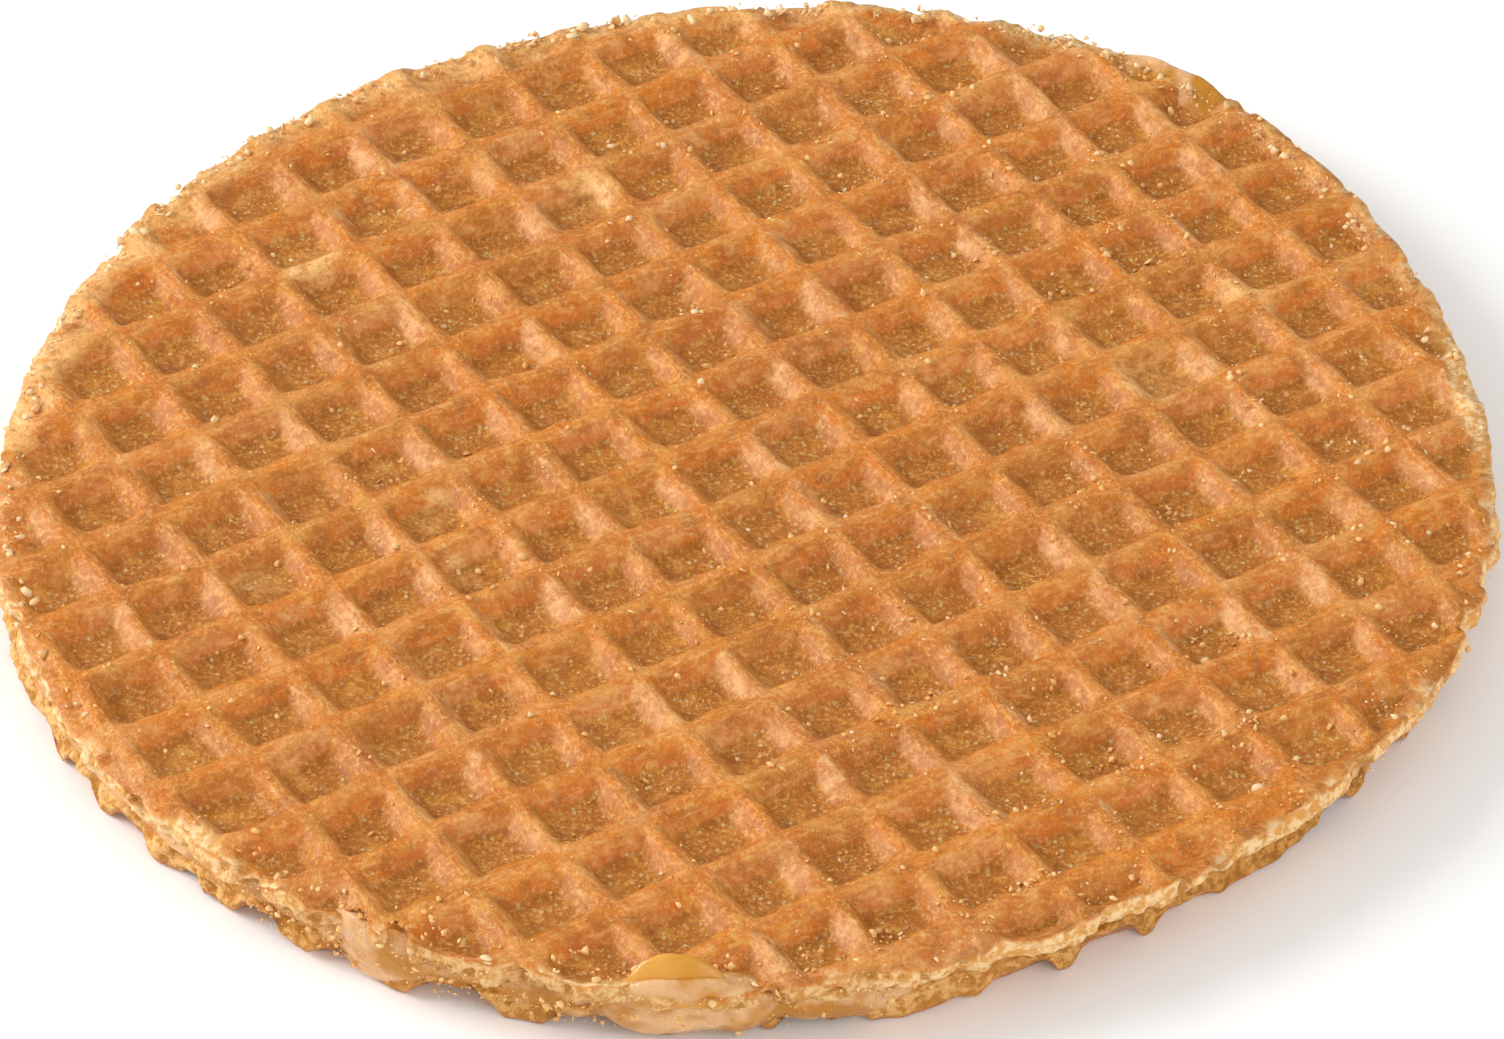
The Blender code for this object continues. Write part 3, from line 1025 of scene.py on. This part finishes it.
# %% Syrup materials
def syrup_material(name, amber, tan, clear, lumpy):
    material, tree = new_material(name)
    where = add(tree, "TexCoord", output="Object")
    cloud, soft = [
        add(tree, "TexNoise", {"Vector": where, "Scale": 1 / (size * MM), "Detail": 3.0, "Roughness": 0.5})
        for size in (3.2, 0.9)    # mm: patches of colour, lumps of the surface
    ]
    colour = coated(tree, {"cloud": cloud}, tan, [(amber, ("cloud", 0.38, 0.62))])
    bump = add(tree, "Bump", {"Strength": lumpy, "Distance": 0.0005, "Height": soft})
    bsdf = add(tree, "BsdfPrincipled", {
        "Base Color": colour, "Roughness": 0.22, "Normal": bump, "IOR": 1.49,
        "Subsurface Weight": clear, "Subsurface Radius": (0.002, 0.001, 0.0004),
    })
    add(tree, "OutputMaterial", {0: bsdf})
    return material


stroop = syrup_material("caramel_syrup", "BC7C16", "E0B07C", 0.25, 0.7)
amber_syrup = syrup_material("clear_amber_syrup", "CC8C20", "D69A3E", 0.4, 0.15)

# %% [markdown]
# ## Crumbs' dough
# Crumbs are the same dough as the wafers: pale when they come from inside, golden when
# they come from the skin. Broken dough is matt and rough. Each pebble carries its own
# tone, so one material gives every crumb a shade of its own.

# %% Crumb materials
def crumb_material(name, light, dark):
    material, tree = new_material(name)
    where = add(tree, "TexCoord", output="Object")
    tone = add(tree, "Attribute", output="Fac", attribute_name="tone")
    rough_dough = add(tree, "TexNoise", {"Vector": where, "Scale": 1 / (0.2 * MM), "Detail": 3.0,
                                         "Roughness": 0.6})
    bump = add(tree, "Bump", {"Strength": 0.5, "Distance": 0.0001, "Height": rough_dough})
    bsdf = add(tree, "BsdfPrincipled", {
        "Base Color": coated(tree, {"tone": tone}, light, [(dark, "tone")]),
        "Roughness": 0.6, "Normal": bump, "IOR": 1.45,
        "Subsurface Weight": 0.2, "Subsurface Radius": (0.001, 0.0006, 0.0003),
    })
    add(tree, "OutputMaterial", {0: bsdf})
    return material


pale_dough = crumb_material("pale_dough_crumb", "F4D8A8", "E2B070")
gold_dough = crumb_material("golden_dough_crumb", "F4CC8E", "E2A858")

# %% [markdown]
# ## Joining pieces to the biscuit
# Nothing moves, so every piece rides on the one body. The wafers and the syrup layer
# stand for the three plain solids. The drop, crumbs and flakes only add to them.

# %% Give out materials
def show_as(piece, material, slot, *nodes):
    """Gives a piece its material, its body and the solids it stands for; slot is not used."""
    piece.data.materials.append(material)
    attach(piece, "root")
    if nodes:
        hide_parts(*nodes)


show_as(upper, upper_skin, "wafer_top", "top_wafer")
show_as(lower, lower_skin, "wafer_bottom", "bottom_wafer")
show_as(syrup, stroop, "syrup", "filling")
show_as(front_drop, amber_syrup, "syrup")
show_as(pale_crumbs, pale_dough, "wafer_top")
show_as(gold_crumbs, gold_dough, "wafer_top")
show_as(edge_crumbs, gold_dough, "wafer_top")
show_as(rim_flakes, pale_dough, "wafer_top")

# %% [markdown]
# ## Floor
# A wide pale floor keeps attention on the biscuit and lights its side from below. It
# lies a hair under the lowest point, so the two never share a plane.

# %% Floor
FLOOR_HALF = 1500.0       # mm
FLOOR_GAP = 0.02

corners = np.array([[-1, -1, 0], [1, -1, 0], [1, 1, 0], [-1, 1, 0]]) * FLOOR_HALF
corners[:, 2] = cad_low.z / MM - FLOOR_GAP
floor = make_piece("floor", corners, [np.array([[0, 1, 2, 3]])])
paint, paint_tree = new_material("matt_white_paint")
paint_bsdf = add(paint_tree, "BsdfPrincipled", {"Base Color": hexa("FAFAF9"), "Roughness": 0.9})
add(paint_tree, "OutputMaterial", {0: paint_bsdf})
floor.data.materials.append(paint)

# %% [markdown]
# ## Light
# The main light is large and soft, from the left and a little behind. The rib walls that
# face it are pale, partly from a sheen painted into their colour, and the orange glow of
# the others is painted too. A weak light at the right front and a white room keep the
# shadows open.

# %% Light
def soft_light(name, place_m, size_m, watts):
    """A square area light that faces the biscuit."""
    data = bpy.data.lights.new(name, "AREA")
    data.size = size_m
    data.energy = watts
    lamp = bpy.data.objects.new(name, data)
    bpy.context.scene.collection.objects.link(lamp)
    lamp.location = place_m
    lamp.rotation_euler = Vector(place_m).to_track_quat("Z", "Y").to_euler()


soft_light("window_left", (-0.64, 0.12, 0.36), 0.42, 5.2)
soft_light("fill_front", (0.34, -0.50, 0.34), 0.6, 1.9)
world = bpy.data.worlds.new("white_room")
world.use_nodes = True
world.node_tree.nodes["Background"].inputs["Color"].default_value = (1, 1, 1, 1)
world.node_tree.nodes["Background"].inputs["Strength"].default_value = 0.66
bpy.context.scene.world = world
bpy.context.scene.view_settings.view_transform = "Standard"

# %% [markdown]
# ## Camera
# A long lens half a metre away, looking 40 degrees down, shows both the grid and the
# cut side with little perspective.

# %% Camera
LENS_MM = 182.7
CAMERA_FROM = (-0.00211, -0.38075, 0.32092)
DOWN, YAW, ROLL = np.radians([40.09, -0.361, 0.56])

camera = bpy.data.objects.new("camera", bpy.data.cameras.new("camera"))
bpy.context.scene.collection.objects.link(camera)
camera.data.lens = LENS_MM
camera.data.sensor_width = 36.0
camera.data.clip_start = 0.01
aim = Matrix.Rotation(YAW, 4, "Z") @ Matrix.Rotation(np.pi / 2 - DOWN, 4, "X")
camera.matrix_world = Matrix.Translation(CAMERA_FROM) @ aim @ Matrix.Rotation(ROLL, 4, "Z")
bpy.context.scene.camera = camera
